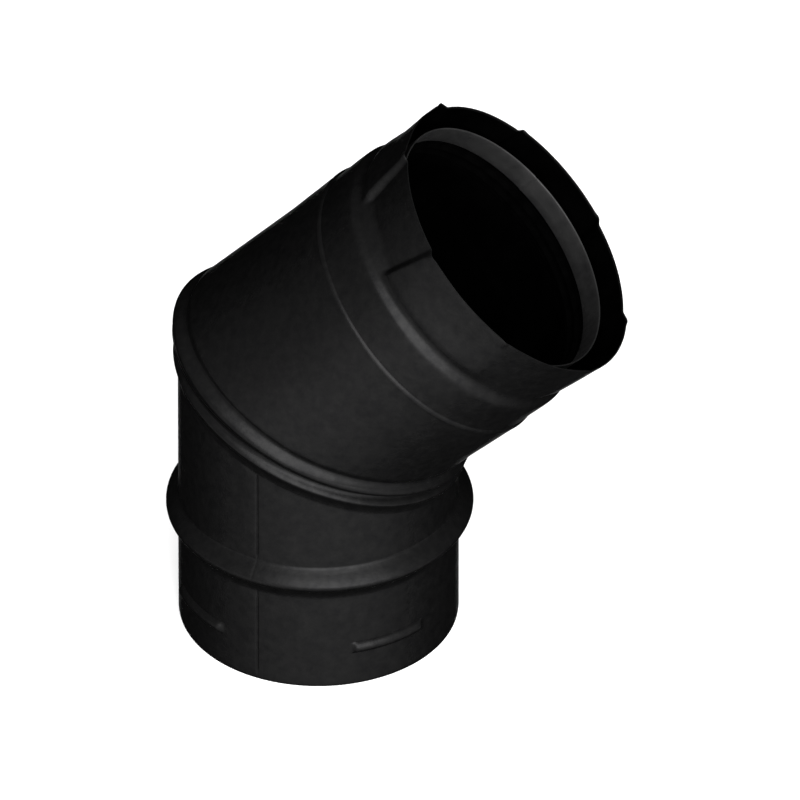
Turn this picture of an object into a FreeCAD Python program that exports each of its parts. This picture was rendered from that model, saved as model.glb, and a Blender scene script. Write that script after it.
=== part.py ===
import FreeCAD, Part
import math
import os

# 45 degree double-wall flue elbow with a twist-lock (bayonet) casing.
# Frame: the origin is the centre of the lower (male) edge, +Z runs up the lower leg,
# and the upper leg leans towards +X in the XZ plane.  All lengths are millimetres.

BEND = 45.0              # angle between the two legs, degrees
LOWER_LEG = 81.1         # lower edge to the crossing point of the two axes
UPPER_LEG = 82.1         # crossing point to the upper rim

SHEET = 0.4              # casing and liner sheet thickness
FIT = 0.05               # clearance between nested sheets

CASING_MALE_R = 40.75    # lower casing, outer radius
CASING_NECK_R = 43.9     # upper casing just above the joint, outer radius
CASING_LAP_R = 44.7      # upper casing where it laps over the collar, outer radius
LAP_EDGE = 35.0          # depth of that lap edge below the rim
LAP_LENGTH = 9.0         # length of the collar hidden under the lap

BEAD_Z = 37.7            # stop bead, height of the crest above the lower edge
BEAD_HALF = 4.5
BEAD_HEIGHT = 3.8

LUG_COUNT = 4
LUG_FIRST = -48.4        # direction of the first lug, degrees about the lower axis
LUG_ARC = 33.0
LUG_Z = 13.0
LUG_HALF = 1.7
LUG_HEIGHT = 1.25

SEAM_ANGLE = -105.0      # edge of the lapped lengthwise seam, degrees
SEAM_ARC = 6.5
SEAM_HEIGHT = 0.2

PAD_COUNT = 4
PAD_FIRST = 33.9         # direction of the first pressed pad about the upper axis
PAD_RIM_HALF = 22.0      # half width of a pad at the rim, degrees
PAD_END_HALF = 17.2      # half width at its inner end
PAD_DEPTH = 19.8         # length of a pad from the rim
PAD_RIM_R = 43.4         # outer radius of a pad at the rim
PAD_END_R = 41.9         # outer radius of a pad at its inner end

LINER_BORE_R = 38.1      # clear bore of the inner pipe
SOCKET_BORE_R = 39.07    # widened end that takes the next inner pipe
SOCKET_TOP = 4.7         # depth of the socket edge below the rim
SOCKET_FLOOR = 37.5      # depth of the step from the socket to the bore
GROOVE_TOP = 12.6        # gasket groove, depth of its outer wall below the rim
GROOVE_FLOOR = 20.6
GROOVE_R = 39.75
LINER_FOOT = 0.6         # set-back of the inner pipe inside the lower edge

HALF = math.radians(BEND / 2.0)
CROSSING = FreeCAD.Vector(0, 0, LOWER_LEG)
UP = FreeCAD.Vector(0, 0, 1)
LEAN = FreeCAD.Vector(math.sin(2 * HALF), 0, math.cos(2 * HALF))
MITRE = FreeCAD.Vector(math.sin(HALF), 0, math.cos(HALF))
ACROSS = FreeCAD.Vector(math.cos(HALF), 0, -math.sin(HALF))
CENTRE = FreeCAD.Vector(0, 0, 0)


def points(run, shift=0.0):
    return [FreeCAD.Vector(r + shift, 0, z) for r, z in run]


def straight(run, shift=0.0):
    knots = points(run, shift)
    return [Part.makeLine(a, b) for a, b in zip(knots[:-1], knots[1:])]


def smooth(run, shift=0.0, flat_start=True, flat_end=True):
    """One spline through the run; flat ends leave parallel to the axis."""
    knots = points(run, shift)
    curve = Part.BSplineCurve()
    if flat_start and flat_end:
        way = 1.0 if knots[-1].z > knots[0].z else -1.0
        axis = FreeCAD.Vector(0, 0, way)
        curve.interpolate(Points=knots, InitialTangent=axis, FinalTangent=axis)
    else:
        curve.interpolate(knots)
    return [curve.toShape()]


def close(edges):
    """Face bounded by a chain of edges, closed by one straight edge."""
    chain = Part.Wire(Part.__sortEdges__(edges))
    ends = [v.Point for v in chain.OrderedVertexes]
    if not chain.isClosed():
        chain = Part.Wire(Part.__sortEdges__(edges + [Part.makeLine(ends[-1], ends[0])]))
    return Part.Face(chain)


def spin(face, angle=360.0, start=0.0):
    solid = face.revolve(CENTRE, UP, angle)
    if start:
        solid.rotate(CENTRE, UP, start)
    return solid


def sheet(build, thickness=SHEET, angle=360.0, start=0.0):
    """Sheet-metal ring: build(shift) returns the profile edges moved outward by shift."""
    outer = build(0.0)
    inner = build(-thickness)
    top = Part.makeLine(outer[-1].lastVertex(True).Point, inner[-1].lastVertex(True).Point)
    foot = Part.makeLine(outer[0].firstVertex(True).Point, inner[0].firstVertex(True).Point)
    wire = Part.Wire(Part.__sortEdges__(outer + inner + [top, foot]))
    return spin(Part.Face(wire), angle, start)


def core(build, shift, low, high):
    """Solid of revolution inside build(shift), reaching from height low to high."""
    edges = build(shift)
    first = edges[0].firstVertex(True).Point
    last = edges[-1].lastVertex(True).Point
    outline = [FreeCAD.Vector(last.x, 0, high), FreeCAD.Vector(0, 0, high),
               FreeCAD.Vector(0, 0, low), FreeCAD.Vector(first.x, 0, low)]
    knots = [last] + outline + [first]
    for a, b in zip(knots[:-1], knots[1:]):
        if a.distanceToPoint(b) > 1e-6:
            edges.append(Part.makeLine(a, b))
    return spin(Part.Face(Part.Wire(Part.__sortEdges__(edges))))


def stand_up(shape):
    """Move a shape built about +Z at the crossing point onto the upper axis."""
    shape.rotate(CENTRE, FreeCAD.Vector(0, 1, 0), BEND)
    shape.translate(CROSSING)
    return shape


def oblique(shape, axis):
    """Shear a ring built about +Z so that it follows a leg through the mitre plane."""
    c = math.cos(HALF)
    m = FreeCAD.Matrix()
    m.A11, m.A21, m.A31 = ACROSS.x / c, 0, ACROSS.z / c
    m.A12, m.A22, m.A32 = 0, 1, 0
    m.A13, m.A23, m.A33 = axis.x / c, 0, axis.z / c
    m.A14, m.A24, m.A34 = CROSSING.x, CROSSING.y, CROSSING.z
    return shape.transformGeometry(m)


def beyond(offset, upward):
    """Large block on one side of the plane parallel to the mitre at this offset."""
    size = 400.0
    block = Part.makeBox(size, size, size)
    block.translate(FreeCAD.Vector(-size / 2, -size / 2, 0 if upward else -size))
    block.rotate(CENTRE, FreeCAD.Vector(0, 1, 0), BEND / 2)
    block.translate(CROSSING + MITRE * offset)
    return block


def end_to_end(pipe, ring, offset):
    """Join two sheet shapes that meet in the plane parallel to the mitre at this offset."""
    faces = []
    for face in pipe.Faces + ring.Faces:
        reach = [abs((v.Point - CROSSING).dot(MITRE) - offset) for v in face.Vertexes]
        if max(reach) > 1e-3:
            faces.append(face)
    skin = Part.makeCompound(faces)
    skin.sewShape(1e-4)
    return Part.makeSolid(skin.Shells[0])


# --- casing, lower gore ------------------------------------------------------

JOINT_FOOT = -8.4        # mitre offset where the lower rib leaves the pipe

# The two gores are nested here.  Below the mitre both follow the lower leg, above it the upper.
NEST_LOW = [(42.35, -3.3), (42.75, -2.4), (43.7, -1.0), (44.35, 0)]
NEST_HIGH = [(44.35, 0), (44.85, 1.6), (44.3, 3.6)]
RIB_FOOT = [(CASING_MALE_R, JOINT_FOOT), (41.5, -7.5), (42.95, -6.3), (42.9, -5.2),
            (42.05, -4.0), (NEST_LOW[0][0] - SHEET - FIT, NEST_LOW[0][1])]


def male_wall(shift=0.0):
    low = straight([(CASING_MALE_R, 0), (CASING_MALE_R, BEAD_Z - BEAD_HALF)], shift)
    bulge = []
    for k in range(9):
        share = k / 4.0 - 1.0
        rise = BEAD_HEIGHT * math.cos(share * math.pi / 2) ** 1.6
        bulge.append((CASING_MALE_R + rise, BEAD_Z + share * BEAD_HALF))
    high = straight([(CASING_MALE_R, BEAD_Z + BEAD_HALF), (CASING_MALE_R, 130)], shift)
    return low + smooth(bulge, shift) + high


def nested(run, shift):
    return smooth(run, shift - SHEET - FIT, False, False)


def lower_joint(shift=0.0):
    return smooth(RIB_FOOT, shift) + nested(NEST_LOW, shift)


def lug(height, half, arc, root):
    top = CASING_MALE_R + height
    run = [(root, -half), (root + 0.4 * (top - root), -0.85 * half), (top, -0.35 * half),
           (top, 0.35 * half), (root + 0.4 * (top - root), 0.85 * half), (root, half)]
    bar = spin(close(straight([(r, z + LUG_Z) for r, z in run])), arc)
    bar.rotate(CENTRE, UP, -arc / 2)
    return bar


wall = sheet(male_wall)
for n in range(LUG_COUNT):
    turn = LUG_FIRST + 360.0 / LUG_COUNT * n
    bar = lug(LUG_HEIGHT, LUG_HALF, LUG_ARC, CASING_MALE_R - 0.1)
    hollow = lug(LUG_HEIGHT - SHEET, LUG_HALF - 0.4, LUG_ARC - 1.2, CASING_MALE_R - SHEET - 0.2)
    bar.rotate(CENTRE, UP, turn)
    hollow.rotate(CENTRE, UP, turn)
    wall = wall.fuse(bar).cut(hollow)

strap = sheet(lambda s: male_wall(s + SEAM_HEIGHT), SEAM_HEIGHT + 0.1, SEAM_ARC,
              SEAM_ANGLE - SEAM_ARC)
strap = strap.cut(beyond(JOINT_FOOT - 0.4, True))
strap = strap.cut(Part.makeBox(200, 200, 1.0, FreeCAD.Vector(-100, -100, -0.2)))
wall = wall.fuse(strap).cut(beyond(JOINT_FOOT, True))
lower_gore = end_to_end(wall, oblique(sheet(lower_joint), UP), JOINT_FOOT)
hook = oblique(sheet(lambda s: nested(NEST_HIGH, s)), LEAN)
lower_gore = end_to_end(lower_gore, hook, 0.0)

# --- casing, upper gore ------------------------------------------------------

JOINT_HEAD = 6.0         # mitre offset where the upper rib leaves the pipe
LAP_Z = UPPER_LEG - LAP_EDGE
WIDE_Z = LAP_Z - 1.5     # the gore widens from the neck up to here
NECK_Z = 25.5
WIDENING = (CASING_LAP_R - CASING_NECK_R) / (WIDE_Z - NECK_Z)


def gore_wall(shift=0.0):
    return straight([(CASING_NECK_R, -40), (CASING_NECK_R, NECK_Z), (CASING_LAP_R, WIDE_Z),
                     (CASING_LAP_R, LAP_Z)], shift)


def upper_joint(shift=0.0):
    tail = [NEST_HIGH[-1], (43.75, 4.9), (CASING_NECK_R, JOINT_HEAD)]
    return smooth(NEST_HIGH, shift, False, False) + smooth(tail, shift, False, False)


wall = stand_up(sheet(gore_wall)).cut(beyond(JOINT_HEAD, False))
upper_gore = end_to_end(wall, oblique(sheet(upper_joint), LEAN), JOINT_HEAD)
hook = oblique(sheet(lambda s: smooth(NEST_LOW, s, False, False)), UP)
upper_gore = end_to_end(upper_gore, hook, 0.0)

# --- casing, twist-lock collar -----------------------------------------------


COLLAR_FOOT = LAP_Z - LAP_LENGTH
HIDDEN_R = CASING_LAP_R - SHEET - FIT
FOOT_R = HIDDEN_R - WIDENING * (WIDE_Z - COLLAR_FOOT)


def depth(run):
    """Turn (radius, depth below the rim) into (radius, height above the crossing)."""
    return [(r, UPPER_LEG - s) for r, s in run]


def collar_wall(shift=0.0):
    hidden = [(FOOT_R, COLLAR_FOOT), (HIDDEN_R, WIDE_Z), (HIDDEN_R, UPPER_LEG - 33.0)]
    waist = depth([(HIDDEN_R, 33.0), (44.4, 27.0), (44.15, 22.0), (43.75, 18.6), (44.3, 17.0),
                   (44.4, 15.0)])
    lip = depth([(44.4, 15.0), (44.55, 5.0), (44.95, 0.0)])
    return straight(hidden, shift) + smooth(waist, shift) + straight(lip, shift)


def pad_cone(shift):
    slope = (PAD_RIM_R - PAD_END_R) / PAD_DEPTH
    run = depth([(PAD_END_R - 4 * slope, PAD_DEPTH + 4), (PAD_RIM_R + 4 * slope, -4)])
    return spin(close(straight([(0, run[0][1])] + [(r + shift, z) for r, z in run]
                               + [(0, run[1][1])])))


def pad_block(grow):
    """Trapezium seen along the radius, standing on the pipe at the first pad."""
    rim = 44.0 * math.sin(math.radians(PAD_RIM_HALF)) + grow
    end = 44.0 * math.sin(math.radians(PAD_END_HALF)) + grow
    flare = (rim - end) / PAD_DEPTH
    corners = [(-end, PAD_DEPTH + grow), (end, PAD_DEPTH + grow),
               (rim + 3 * flare, -3.0), (-rim - 3 * flare, -3.0)]
    outline = [FreeCAD.Vector(30, y, UPPER_LEG - s) for y, s in corners]
    plate = Part.Face(Part.makePolygon(outline + outline[:1]))
    return plate.extrude(FreeCAD.Vector(20, 0, 0))


def pressings(grow, shift):
    cone = pad_cone(shift)
    blocks = []
    for n in range(PAD_COUNT):
        block = pad_block(grow)
        block.rotate(CENTRE, UP, PAD_FIRST + 360.0 / PAD_COUNT * n)
        blocks.append(block.cut(cone))
    return blocks


outside = core(collar_wall, 0.0, COLLAR_FOOT, UPPER_LEG)
inside = core(collar_wall, -SHEET, COLLAR_FOOT - 1, UPPER_LEG + 1)
for block in pressings(0.0, 0.0):
    outside = outside.cut(block)
for block in pressings(SHEET, -SHEET):
    inside = inside.cut(block)
collar = stand_up(outside.cut(inside))

# --- liner -------------------------------------------------------------------

LINER_R = LINER_BORE_R + SHEET
LINER_LAP = -5.0         # mitre offset of the edge that laps over the lower liner
LINER_HEAD = 3.0         # mitre offset where that lap has narrowed to the pipe


def lower_liner_wall(shift=0.0):
    return straight([(LINER_R, LINER_FOOT), (LINER_R, 130)], shift)


lower_liner = sheet(lower_liner_wall).cut(beyond(-0.8, True))


def upper_liner_wall(shift=0.0):
    step = 1.2
    socket = SOCKET_BORE_R + SHEET
    groove = GROOVE_R + SHEET
    return straight([(LINER_R, -40)] + depth([
        (LINER_R, SOCKET_FLOOR + step), (socket, SOCKET_FLOOR - step),
        (socket, GROOVE_FLOOR + 0.4), (groove, GROOVE_FLOOR - 0.4),
        (groove, GROOVE_TOP + 0.3), (socket, GROOVE_TOP - 0.3), (socket, SOCKET_TOP)]), shift)


LAP_R = LINER_R + SHEET + FIT


def liner_neck(shift=0.0):
    return straight([(LAP_R, 0), (LAP_R, 0.2), (LINER_R, 1.8), (LINER_R, LINER_HEAD)], shift)


def liner_lap(shift=0.0):
    return straight([(LAP_R, LINER_LAP), (LAP_R, 0)], shift)


wall = stand_up(sheet(upper_liner_wall)).cut(beyond(LINER_HEAD, False))
upper_liner = end_to_end(wall, oblique(sheet(liner_neck), LEAN), LINER_HEAD)
upper_liner = end_to_end(upper_liner, oblique(sheet(liner_lap), UP), 0.0)

# --- gasket in the socket groove ---------------------------------------------

GASKET_WALL = 0.55
LIP_REACH = 38.3         # free radius of the sealing lips

low = UPPER_LEG - GROOVE_FLOOR + 0.75
high = UPPER_LEG - GROOVE_TOP - 0.45
back = GROOVE_R - 0.02
face = back - GASKET_WALL
band = [(back, low), (back, high), (face, high)]
for share in (0.78, 0.36):
    root = low + share * (high - low)
    band += [(face, root + 0.5), (LIP_REACH, root - 0.5), (LIP_REACH, root - 0.8),
             (face, root - 0.5)]
band += [(face, low)]
gasket = stand_up(spin(close(straight(band))))

# --- spacer rings between liner and casing -----------------------------------


def channel(inner, outer, low, high, rise=0.0):
    """U-section ring, open towards the liner."""
    t = SHEET
    run = [(inner, low), (outer, low), (outer + rise, high), (inner, high),
           (inner, high - t), (outer + rise - t, high - t), (outer - t, low + t), (inner, low + t)]
    return spin(close(straight(run)))


SPACER_HOLES = 12
lower_spacer = channel(LINER_R + 0.03, CASING_MALE_R - SHEET - 0.03, BEAD_Z + 6.0, BEAD_Z + 13.0)

ring_low = COLLAR_FOOT + 0.5
ring_high = UPPER_LEG - SOCKET_FLOOR - 1.5
rise = WIDENING * (ring_high - ring_low)
upper_spacer = channel(LINER_R + 0.03, FOOT_R - SHEET, ring_low, ring_high, rise)
for n in range(SPACER_HOLES):
    hole = Part.makeCylinder(1.5, 20, FreeCAD.Vector(41.1, 0, ring_low - 5))
    hole.rotate(CENTRE, UP, 360.0 / SPACER_HOLES * n)
    upper_spacer = upper_spacer.cut(hole)
upper_spacer = stand_up(upper_spacer)

NODES = {
    "casing_lower_gore": lower_gore,
    "casing_upper_gore": upper_gore,
    "casing_collar": collar,
    "liner_lower_gore": lower_liner,
    "liner_upper_gore": upper_liner,
    "socket_gasket": gasket,
    "spacer_lower": lower_spacer,
    "spacer_upper": upper_spacer,
}

os.makedirs("parts", exist_ok=True)
for name, shape in NODES.items():
    if len(shape.Solids) == 1:
        shape = shape.Solids[0]
    box = shape.BoundBox
    print(name, shape.ShapeType, "valid", shape.isValid(), "solids", len(shape.Solids),
          "faces", len(shape.Faces), "cm3", round(shape.Volume / 1000, 2),
          "box", [round(v, 1) for v in (box.XMin, box.XMax, box.YMin, box.YMax, box.ZMin, box.ZMax)])
    shape.exportStep("parts/" + name + ".step")
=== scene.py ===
import math

import bpy
import numpy as np
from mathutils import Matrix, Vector


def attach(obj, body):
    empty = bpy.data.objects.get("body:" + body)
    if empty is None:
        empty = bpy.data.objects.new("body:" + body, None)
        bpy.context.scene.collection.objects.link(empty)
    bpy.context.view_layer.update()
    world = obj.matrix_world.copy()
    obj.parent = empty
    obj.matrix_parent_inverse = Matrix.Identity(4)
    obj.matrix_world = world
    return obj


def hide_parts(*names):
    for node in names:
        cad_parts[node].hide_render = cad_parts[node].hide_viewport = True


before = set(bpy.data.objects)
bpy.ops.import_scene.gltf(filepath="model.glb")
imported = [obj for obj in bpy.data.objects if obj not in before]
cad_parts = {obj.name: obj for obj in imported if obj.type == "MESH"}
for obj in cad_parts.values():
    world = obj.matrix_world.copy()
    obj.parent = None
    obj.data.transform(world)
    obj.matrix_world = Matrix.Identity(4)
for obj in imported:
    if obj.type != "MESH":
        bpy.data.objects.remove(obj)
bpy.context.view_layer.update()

# The elbow: a 45 degree bend, lower axis on +Z from the origin, upper leg towards +X.
# Profiles are in millimetres and turned into metres when a mesh is made.

HALF = math.radians(22.5)
TAN, COS = math.tan(HALF), math.cos(HALF)
CROSSING = np.array([0.0, 0.0, 81.1])
UPPER_LEG = 82.1
E1 = np.array([math.sqrt(0.5), 0.0, -math.sqrt(0.5)])
E2 = np.array([0.0, 1.0, 0.0])
LEAN = np.array([math.sqrt(0.5), 0.0, math.sqrt(0.5)])
SHEET = 0.4                     # casing and liner sheet
RIM_CAP = 0.12                  # how far a rounded sheet edge stands past its last row
CREASE = math.radians(50)       # edges folded more sharply than this are drawn sharp


# --- helpers -----------------------------------------------------------------

def spline(knots, steps):
    """Smooth (height, radius) run through the knots, monotone between them."""
    k = np.array(knots, float)
    at, r = k[:, 0], k[:, 1]
    slope = np.gradient(r, at)
    slope[0] = slope[-1] = 0.0
    out = []
    for i in range(len(k) - 1):
        t = np.linspace(0, 1, steps, endpoint=False)
        h = at[i + 1] - at[i]
        a = (2 * t ** 3 - 3 * t ** 2 + 1) * r[i] + (t ** 3 - 2 * t ** 2 + t) * h * slope[i]
        b = (3 * t ** 2 - 2 * t ** 3) * r[i + 1] + (t ** 3 - t ** 2) * h * slope[i + 1]
        out += list(zip(at[i] + t * h, a + b))
    out.append((at[-1], r[-1]))
    return out


def line(a, b, steps):
    """Straight run from a to b, without the last point."""
    t = np.linspace(0, 1, steps, endpoint=False)
    return [(a[0] + (b[0] - a[0]) * x, a[1] + (b[1] - a[1]) * x) for x in t]


def step(x, low, high):
    """Smooth step, 0 below low and 1 above high."""
    t = np.clip((x - low) / (high - low), 0, 1)
    return t * t * (3 - 2 * t)


def turn(angle, centre):
    """Signed difference in degrees between two directions."""
    return (angle - centre + 180) % 360 - 180


def ripple(angle, along, seed, size):
    """Low, wide unevenness of hand-finished sheet metal, in mm."""
    a = np.radians(angle)
    w = np.sin(3 * a + along / 17 + seed) + 0.6 * np.sin(5 * a - along / 11 + 2.1 * seed)
    return size * (w + 0.4 * np.sin(9 * a + along / 7 + 0.7 * seed))


def tube(name, stations, angles, place, relief, thickness=SHEET):
    """Closed sheet-metal skin.  stations are (kind, position, radius), place puts a point in
    space, and relief gives the extra radius of the outer face at each point."""
    kinds = np.array([s[0] for s in stations])
    at = np.array([s[1] for s in stations], float)[:, None]
    radius = np.array([s[2] for s in stations], float)[:, None]
    ang = np.array(angles, float)[None, :]
    at, radius, ang = np.broadcast_arrays(at, radius, ang)
    outer = radius + relief(kinds[:, None], at, ang)
    rows, cols = outer.shape
    skins = [place(kinds[:, None], at, outer, ang)]
    skins.append(place(kinds[:, None], at, outer - thickness, ang))
    foot = 0.5 * (skins[0][0] + skins[1][0])
    head = 0.5 * (skins[0][-1] + skins[1][-1])
    foot += RIM_CAP * unit(skins[0][0] - skins[0][1])
    head += RIM_CAP * unit(skins[0][-1] - skins[0][-2])
    verts = np.concatenate([skins[0].reshape(-1, 3), skins[1].reshape(-1, 3), foot, head])
    n = rows * cols
    faces = []
    for i in range(rows - 1):
        for j in range(cols):
            k = (j + 1) % cols
            a, b, c, d = i * cols + j, i * cols + k, (i + 1) * cols + k, (i + 1) * cols + j
            faces.append((a, b, c, d))
            faces.append((n + d, n + c, n + b, n + a))
    for j in range(cols):
        k = (j + 1) % cols
        last = (rows - 1) * cols
        f, h = 2 * n, 2 * n + cols
        faces.append((f + j, f + k, k, j))
        faces.append((n + j, n + k, f + k, f + j))
        faces.append((last + j, last + k, h + k, h + j))
        faces.append((h + j, h + k, n + last + k, n + last + j))
    mesh = bpy.data.meshes.new(name)
    mesh.from_pydata((verts / 1000.0).tolist(), [], faces)
    mesh.polygons.foreach_set("use_smooth", [True] * len(mesh.polygons))
    mesh.set_sharp_from_angle(angle=CREASE)
    mesh.update()
    piece = bpy.data.objects.new(name, mesh)
    bpy.context.scene.collection.objects.link(piece)
    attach(piece, "root")
    return piece


def unit(v):
    return v / np.maximum(np.linalg.norm(v, axis=-1, keepdims=True), 1e-9)


ASKEW_HEEL, ASKEW_CROOK = 0.09, 0.04    # slope of the top rib against the mitre plane


def on_joint(at, x, y):
    """Point of the bead lock.  at is the distance from the mitre plane; below that plane the
    ring follows the lower leg and above it the upper leg.  The top rib is rolled askew, high at
    the heel of the bend."""
    d = at - np.where(x < 0, ASKEW_HEEL, ASKEW_CROOK) * x * step(at, -6.5, -1.5)
    across = np.array([1.0, 0.0, -TAN])
    axis = np.where((d < 0)[..., None], np.array([0.0, 0.0, 1.0]), LEAN)
    return CROSSING + x[..., None] * across + y[..., None] * E2 + (d / COS)[..., None] * axis


def place_lower(kind, at, radius, angle):
    x = radius * np.cos(np.radians(angle))
    y = radius * np.sin(np.radians(angle))
    plain = np.stack([x, y, np.broadcast_to(at, x.shape)], axis=-1)
    return np.where((kind == "level")[..., None], plain, on_joint(at, x, y))


def place_upper(kind, at, radius, angle):
    x = radius * np.cos(np.radians(angle))
    y = radius * np.sin(np.radians(angle))
    plain = CROSSING + x[..., None] * E1 + y[..., None] * E2 + at[..., None] * LEAN
    return np.where((kind == "level")[..., None], plain, on_joint(at, x, y))


def level(run):
    return [("level", p, r) for p, r in run]


def slanted(run):
    return [("slanted", p, r) for p, r in run]


def even(count, extra=()):
    """Evenly spaced directions with a few more placed where an edge runs."""
    base = [360.0 * k / count - 180.0 for k in range(count)]
    return sorted(set(np.round(base + list(extra), 4)))


# --- casing, lower gore ------------------------------------------------------

MALE_R = 40.75
BEAD_Z = 37.7
SEAM = -105.0                   # direction of the lengthwise lap seam
SEAM_HEIGHT = 0.22
LUG_DIRECTIONS = [-48.4 + 90 * k for k in range(4)]
LUG_Z, LUG_HALF, LUG_HEIGHT = 13.0, 1.9, 1.4
CROOK_RISE = 0.4                # the stop bead stands higher on the side of the crook
HEEL_DROP = 1.2                 # the lower rib is flatter at the heel

# Stop bead: rounded crest, and a lower flank that runs out more slowly than the upper one.
BEAD = spline([(-6.6, 0.0), (-5.6, 0.18), (-4.0, 0.95), (-2.4, 2.2), (-1.2, 3.3), (-0.5, 3.66),
               (0.1, 3.75), (0.7, 3.62), (1.5, 3.1), (2.6, 2.1), (3.7, 0.95), (4.5, 0.22),
               (5.2, 0.0)], 5)
# Rows lie closer together where the lugs are.
male = line((0.0, MALE_R - 0.12), (0.8, MALE_R), 4)
male += line((0.8, MALE_R), (10.6, MALE_R), 10)
male += line((10.6, MALE_R), (15.4, MALE_R), 20)
male += line((15.4, MALE_R), (BEAD_Z - 6.8, MALE_R), 16)
male += [(BEAD_Z + z, MALE_R + rise) for z, rise in BEAD]
male += line((BEAD_Z + 5.5, MALE_R), (47.0, MALE_R - 0.1), 5) + [(47.0, MALE_R - 0.1)]
rib = line((-14.0, MALE_R - 0.1), (-11.4, MALE_R - 0.1), 5)
rib += spline([(-11.4, 40.65), (-10.2, 40.95), (-8.4, 41.9), (-7.0, 42.95), (-6.3, 43.2),
               (-5.6, 42.85), (-4.7, 42.0), (-4.0, 41.7), (-3.3, 41.75), (-2.4, 42.5),
               (-1.2, 43.65), (-0.2, 44.1), (1.0, 43.65), (2.4, 42.9)], 5)


def lower_relief(kind, at, angle):
    lift = np.zeros(np.broadcast(at, angle).shape)
    straight = (kind == "level")
    for direction in LUG_DIRECTIONS:
        away = np.abs(turn(angle, direction))
        ends = 1 - step(away, 14.6, 17.2)
        across = np.clip(1 - ((at - LUG_Z) / LUG_HALF) ** 2, 0, 1) ** 0.8
        lift += np.where(straight, LUG_HEIGHT * ends * across, 0)
    lap = turn(angle, SEAM)
    strap = (1 - step(lap, -0.12, 0.12)) * step(lap, -11.0, -1.0)
    above = np.where(straight, step(at, 1.0, 3.0), 1 - step(at, -12.2, -11.4))
    on_bead = step(at, 29.0, 32.0) * (1 - step(at, 42.5, 45.0)) * straight
    lift += SEAM_HEIGHT * strap * above * (1 - on_bead)
    dent = np.exp(-((lap - 0.25) / 0.5) ** 2)
    lift -= SEAM_HEIGHT * dent * above * (1 - 0.8 * on_bead)
    crest = np.exp(-((at - BEAD_Z) / 2.6) ** 2) * straight
    lift += CROOK_RISE * crest * (0.4 + np.cos(np.radians(angle)))
    heel = np.clip(-np.cos(np.radians(angle)), 0, 1) ** 1.5
    on_rib = step(at, -11.0, -7.5) * (1 - step(at, -4.6, -3.4))
    lift -= np.where(straight, 0, HEEL_DROP * heel * on_rib)
    lift += ripple(angle, np.where(straight, at, 70.0), 1.3, 0.025)
    return lift


seam_edges = [SEAM + d for d in (-0.5, -0.3, -0.1, 0, 0.1, 0.25, 0.4, 0.6, 0.9, 1.2)]
lower = tube("casing_lower_gore_skin", level(male) + slanted(rib), even(432, seam_edges),
             place_lower, lower_relief)
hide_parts("casing_lower_gore")

# --- casing, upper gore ------------------------------------------------------

NECK_R = 43.9
LAP_R = 44.7
head = spline([(-3.1, 42.25), (-2.4, 42.95), (-1.4, 44.05), (-0.5, 44.6), (0.2, 44.62),
               (1.2, 44.2), (2.3, 43.45), (3.1, 43.15), (3.8, 43.3), (4.8, 43.75),
               (6.5, NECK_R)], 5)
body = spline([(25.5, NECK_R + 0.02), (34.0, 44.22), (45.2, LAP_R), (46.1, LAP_R + 0.06),
               (46.4, LAP_R)], 10)
body += [(46.75, LAP_R - 0.22), (47.1, LAP_R - 0.45)]


def upper_relief(kind, at, angle):
    away = np.where(kind == "level", step(at, 25.0, 44.0), 0.25)
    return ripple(angle, np.where(kind == "level", at, 20.0), 4.2, 0.05) * (1 - 0.7 * away)


upper = tube("casing_upper_gore_skin", slanted(head) + level(body), even(400), place_upper,
             upper_relief)
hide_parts("casing_upper_gore")

# --- casing, twist-lock collar -----------------------------------------------

PADS = [33.9 + 90 * k for k in range(4)]
PAD_SHARES = [1.0, 1.0, 1.0, 0.4]               # the last one is pressed less deep
PAD_SOFTNESS = [1.0, 1.0, 1.0, 5.0]             # width of the side walls, against the first one
PAD_LENGTH = 19.8
PAD_HALF, PAD_NARROWING = 22.0, 4.8             # half width at the rim and its loss, degrees
PAD_PRESS = 2.4                                 # depth at the inner end
EAR = 0.35                                      # flare of the rim beside each pad
RIM_R = 44.9
CROWNS = [78.9 + 90 * k for k in range(4)]      # channels between the pads
CROWN_RISES = [0.1, -0.9, -0.6, 0.1]            # each is hammered a little differently
# (depth below the rim, radius)
waist = [(44.0, 43.88), (36.5, 44.16), (33.0, 44.15), (30.0, 44.25), (26.5, 44.38),
         (24.0, 44.42), (22.8, 44.38), (22.1, 44.2), (21.3, 43.75), (20.4, 43.15), (19.7, 42.9),
         (19.1, 42.86), (18.4, 42.98), (17.2, 43.4), (16.0, 43.7), (13.0, 43.95), (8.0, 44.3),
         (3.0, 44.65), (1.0, 44.85), (0.0, RIM_R)]
collar_run = []
for (s0, r0), (s1, r1) in zip(waist[:-1], waist[1:]):
    steps = max(2, int(abs(s0 - s1) / 0.45))
    collar_run += line((UPPER_LEG - s0, r0), (UPPER_LEG - s1, r1), steps)
collar_run.append((UPPER_LEG, RIM_R))


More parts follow.
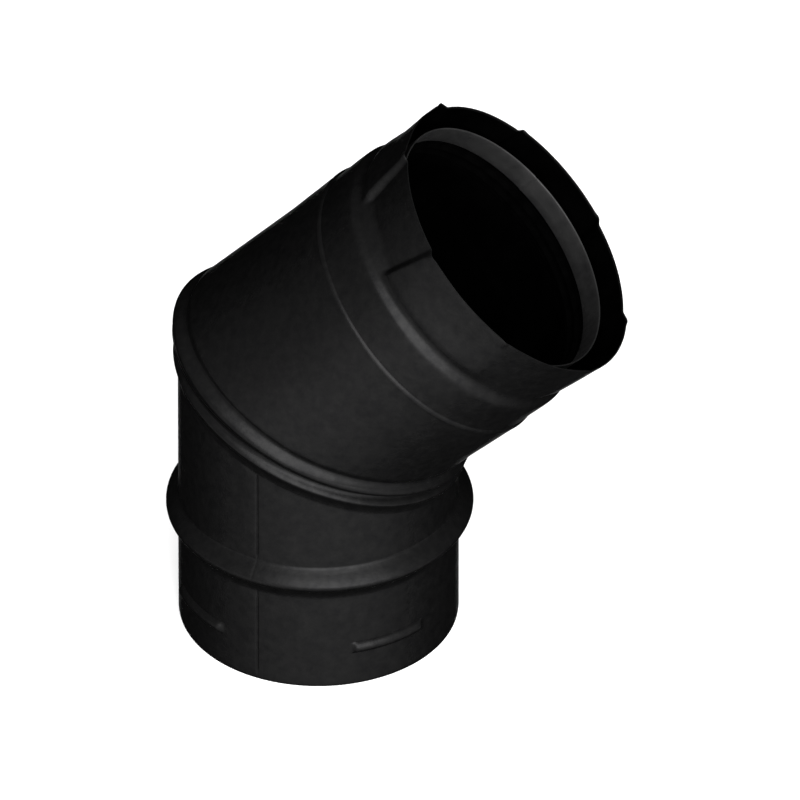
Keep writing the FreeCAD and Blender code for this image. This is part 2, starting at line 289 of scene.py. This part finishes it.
def collar_relief(kind, at, angle):
    depth = UPPER_LEG - at
    drop = np.zeros(np.broadcast(at, angle).shape)
    ears = np.zeros_like(drop)
    half = PAD_HALF - PAD_NARROWING * depth / PAD_LENGTH
    pressed = PAD_PRESS * (0.62 + 0.38 * depth / PAD_LENGTH)
    length = 1 - step(depth, 15.5, 20.0)
    for direction, share, soft in zip(PADS, PAD_SHARES, PAD_SOFTNESS):
        away = np.abs(turn(angle, direction))
        drop += share * pressed * (1 - step(away, half - 2.2 * soft, half + 0.9 * soft)) * length
        edge = np.exp(-((away - half - 1.6) / 1.3) ** 2)
        ears += EAR * edge * (1 - step(depth, 0.0, 2.6))
    crown = np.zeros_like(drop)
    for direction, rise in zip(CROWNS, CROWN_RISES):
        away = np.abs(turn(angle, direction))
        crown += rise * (1 - step(away, 10, 27)) * (1 - step(depth, 8.0, 18.0))
    return ripple(angle, at, 2.6, 0.04) * step(33 - depth, 0, 4) + crown + ears - drop


collar = tube("casing_collar_skin", level(collar_run), even(900), place_upper, collar_relief)
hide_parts("casing_collar")

# --- liner socket seen in the mouth ------------------------------------------

LINER_SEAM = 84.6
BORE_R, SOCKET_R, GROOVE_R = 38.5, 39.47, 40.15

# (depth below the rim, radius): bore, step to the socket, gasket groove, edge
liner_run = slanted(line((3.0, BORE_R), (6.0, BORE_R), 3))
liner_run += level([(UPPER_LEG - depth, r) for depth, r in (
    (52, BORE_R), (45, BORE_R), (39.5, BORE_R), (38.7, 38.55), (37.5, 39.0), (36.4, 39.42),
    (36.0, SOCKET_R), (30, SOCKET_R), (24, SOCKET_R), (21.0, SOCKET_R), (20.7, 39.6),
    (20.3, 40.05), (20.0, GROOVE_R), (16.5, GROOVE_R), (12.95, GROOVE_R), (12.75, 40.05),
    (12.4, 39.55), (12.2, SOCKET_R), (10, SOCKET_R), (7.5, SOCKET_R), (6.4, 39.49),
    (5.9, 39.55), (5.7, 39.6))])


def liner_relief(kind, at, angle):
    lap = turn(angle, LINER_SEAM)
    dent = 0.16 * np.exp(-(lap / 0.5) ** 2)
    under_lap = 0.1 * (1 - step(lap, -0.3, 0.3)) * step(lap, -9, -6)
    return -dent - under_lap + ripple(angle, at, 0.4, 0.02)


def flat(kind, at, angle):
    return np.zeros(np.broadcast(at, angle).shape)


liner_edges = [LINER_SEAM + d for d in (-1.4, -0.8, -0.4, -0.2, 0, 0.2, 0.4, 0.8)]
liner = tube("liner_upper_gore_skin", liner_run, even(360, liner_edges), place_upper,
             liner_relief)
lap_run = slanted([(-5.0, 38.9), (-4.6, 38.95), (-2.0, 38.95), (0.0, 38.95), (0.2, 38.95),
                   (1.0, 38.72), (1.8, BORE_R), (3.0, BORE_R)])
liner_lap = tube("liner_upper_gore_lap", lap_run, even(240), place_upper, flat)
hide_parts("liner_upper_gore")

# --- materials ---------------------------------------------------------------


class Nodes:
    """Small helper to build a node material with one Principled shader."""

    def __init__(self, name, **fixed):
        self.material = bpy.data.materials.new(name)
        self.material.use_nodes = True
        self.tree = self.material.node_tree
        self.shader = self.tree.nodes["Principled BSDF"]
        for key, value in fixed.items():
            self.shader.inputs[key.replace("_", " ")].default_value = value

    def add(self, kind, **settings):
        node = self.tree.nodes.new(kind)
        for key, value in settings.items():
            if key in node.inputs:
                node.inputs[key].default_value = value
            else:
                setattr(node, key, value)
        return node

    def link(self, out, into):
        self.tree.links.new(out, into)

    def noise(self, scale, detail, rough=0.5):
        coords = self.add("ShaderNodeTexCoord")
        node = self.add("ShaderNodeTexNoise", Scale=scale, Detail=detail, Roughness=rough)
        self.link(coords.outputs["Object"], node.inputs["Vector"])
        return node.outputs["Fac"]

    def ramp(self, source, stops):
        node = self.add("ShaderNodeValToRGB")
        while len(node.color_ramp.elements) < len(stops):
            node.color_ramp.elements.new(0.5)
        for element, (place, tone) in zip(node.color_ramp.elements, stops):
            element.position = place
            element.color = (*tone, 1.0) if isinstance(tone, tuple) else (tone, tone, tone, 1.0)
        self.link(source, node.inputs["Fac"])
        return node.outputs["Color"]

    def bump(self, source, strength, distance, before=None):
        node = self.add("ShaderNodeBump", Strength=strength, Distance=distance)
        self.link(source, node.inputs["Height"])
        if before is not None:
            self.link(before, node.inputs["Normal"])
        return node.outputs["Normal"]


def paint():
    n = Nodes("black_heat_paint", Metallic=0.88, Specular_IOR_Level=0.0,
              Specular_Tint=(0.03, 0.03, 0.03, 1))
    patches = n.noise(330, 6, 0.7)
    tones = [(0.3, (0.0066, 0.0066, 0.0068)), (0.7, (0.0100, 0.0099, 0.0099))]
    n.link(n.ramp(patches, tones), n.shader.inputs["Base Color"])
    grain = n.noise(1500, 3, 0.6)
    n.link(n.ramp(n.noise(420, 3, 0.55), [(0.3, 0.38), (0.7, 0.47)]), n.shader.inputs["Roughness"])
    coarse = n.bump(n.noise(420, 4, 0.6), 0.3, 0.0002)
    n.link(n.bump(grain, 0.3, 0.00008, coarse), n.shader.inputs["Normal"])
    return n.material


def dark_steel():
    n = Nodes("dark_liner_steel", Metallic=0.8, Specular_IOR_Level=0.0,
              Specular_Tint=(0.1, 0.1, 0.1, 1))
    tones = [(0.3, (0.016, 0.016, 0.0163)), (0.7, (0.025, 0.0247, 0.0247))]
    n.link(n.ramp(n.noise(90, 4, 0.6), tones), n.shader.inputs["Base Color"])
    n.link(n.ramp(n.noise(500, 3), [(0.3, 0.48), (0.7, 0.62)]), n.shader.inputs["Roughness"])
    n.link(n.bump(n.noise(900, 3), 0.25, 0.0001), n.shader.inputs["Normal"])
    return n.material


# Painted shade: a near-black colour that stands for the shade deep inside the mouth. It is not a
# finish of the steel.
def painted_shade_material():
    n = Nodes("painted_shade_black", Specular_IOR_Level=0.0)
    n.link(n.ramp(n.noise(110, 4, 0.6), [(0.3, 0.0001), (0.7, 0.0003)]),
           n.shader.inputs["Base Color"])
    n.link(n.ramp(n.noise(500, 3), [(0.3, 0.6), (0.7, 0.8)]), n.shader.inputs["Roughness"])
    n.link(n.bump(n.noise(800, 3), 0.25, 0.0001), n.shader.inputs["Normal"])
    return n.material


def rubber_and_painted_shade():
    n = Nodes("gasket_rubber", Specular_IOR_Level=0.0)
    # Black rubber made darker still as painted shade, so the gasket sinks into the shade of the
    # mouth.
    n.link(n.ramp(n.noise(250, 3), [(0.3, 0.0002), (0.7, 0.0005)]), n.shader.inputs["Base Color"])
    n.link(n.ramp(n.noise(600, 2), [(0.3, 0.6), (0.7, 0.75)]), n.shader.inputs["Roughness"])
    n.link(n.bump(n.noise(1200, 2), 0.2, 0.00006), n.shader.inputs["Normal"])
    return n.material


def plain_steel():
    n = Nodes("zinc_spacer_steel", Metallic=0.9)
    tones = [(0.3, (0.16, 0.165, 0.17)), (0.7, (0.27, 0.275, 0.28))]
    n.link(n.ramp(n.noise(120, 5, 0.7), tones), n.shader.inputs["Base Color"])
    n.link(n.ramp(n.noise(400, 3), [(0.3, 0.38), (0.7, 0.55)]), n.shader.inputs["Roughness"])
    n.link(n.bump(n.noise(700, 3), 0.2, 0.0001), n.shader.inputs["Normal"])
    return n.material


def finish_with(objects, material):
    for obj in objects:
        obj.data.materials.clear()
        obj.data.materials.append(material)


def split_finish(obj, material, choose):
    """Give a second material to the faces that choose picks.  It is asked with a face's depth
    below the rim in mm and how far it faces away from the upper axis, below 0 on the inside."""
    obj.data.materials.append(material)
    for face in obj.data.polygons:
        middle = np.array(face.center) * 1000 - CROSSING
        along = float(middle @ LEAN)
        facing = float(np.array(face.normal) @ (middle - along * LEAN))
        if choose(UPPER_LEG - along, facing):
            face.material_index = 1


finish_with([lower, upper, collar], paint())
shade_finish = painted_shade_material()
finish_with([liner], dark_steel())
# Painted shade: the liner lap, the lower liner, and the liner faces past the gasket get the
# near-black colour of the shade in the bore.
finish_with([liner_lap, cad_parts["liner_lower_gore"]], shade_finish)
split_finish(liner, shade_finish, lambda depth, facing: depth > 12.5)
# Painted shade: the collar's inward faces below the rim get the near-black colour of the shade
# inside the mouth.
split_finish(collar, shade_finish, lambda depth, facing: facing < -20 and depth > 0.3)
finish_with([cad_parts["socket_gasket"]], rubber_and_painted_shade())
finish_with([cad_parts["spacer_lower"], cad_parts["spacer_upper"]], plain_steel())

# --- stage -------------------------------------------------------------------

FLOOR_HALF = 3
floor_mesh = bpy.data.meshes.new("floor")
floor_mesh.from_pydata([(x * FLOOR_HALF, y * FLOOR_HALF, 0)
                        for x, y in ((-1, -1), (1, -1), (1, 1), (-1, 1))], [], [(0, 1, 2, 3)])
floor = bpy.data.objects.new("floor", floor_mesh)
floor.location.z = -0.0002      # just under the spigot's rounded edge
bpy.context.scene.collection.objects.link(floor)
pale = Nodes("pale_floor", Roughness=0.9, Specular_IOR_Level=0.1)
pale.shader.inputs["Base Color"].default_value = (0.9, 0.9, 0.9, 1)
floor_mesh.materials.append(pale.material)

world = bpy.data.worlds.new("studio")
world.use_nodes = True
sky = world.node_tree.nodes["Background"]
sky.inputs["Color"].default_value = (1, 1, 1, 1)
sky.inputs["Strength"].default_value = 0.8
bpy.context.scene.world = world

# Directions as the camera has them, the point it looks at, and how far off it stands, in metres.
RIGHT = np.array([0.9816, 0.1908, 0.0])
UPWARD = np.array([-0.1122, 0.5770, 0.8090])
VIEW = np.array([-0.1544, 0.7941, -0.5878])
TARGET = np.array([0.0248, -0.0035, 0.0790])
CAMERA_DISTANCE = 9.646


def look(obj, place, towards):
    obj.location = Vector(place)
    obj.rotation_euler = (Vector(towards) - Vector(place)).to_track_quat("-Z", "Y").to_euler()


soft_box = bpy.data.lights.new("key", "AREA")
soft_box.size = 1.8
soft_box.energy = 110
key = bpy.data.objects.new("key", soft_box)
bpy.context.scene.collection.objects.link(key)
look(key, TARGET + RIGHT * 0.25 + UPWARD * -0.2 - VIEW * 1.5, TARGET)

camera_data = bpy.data.cameras.new("camera")
camera_data.sensor_width = 36.0
camera_data.lens = 1500.0
camera_data.clip_end = 50.0
camera = bpy.data.objects.new("camera", camera_data)
bpy.context.scene.collection.objects.link(camera)
look(camera, TARGET - VIEW * CAMERA_DISTANCE, TARGET)
bpy.context.scene.camera = camera
bpy.context.scene.view_settings.view_transform = "Standard"
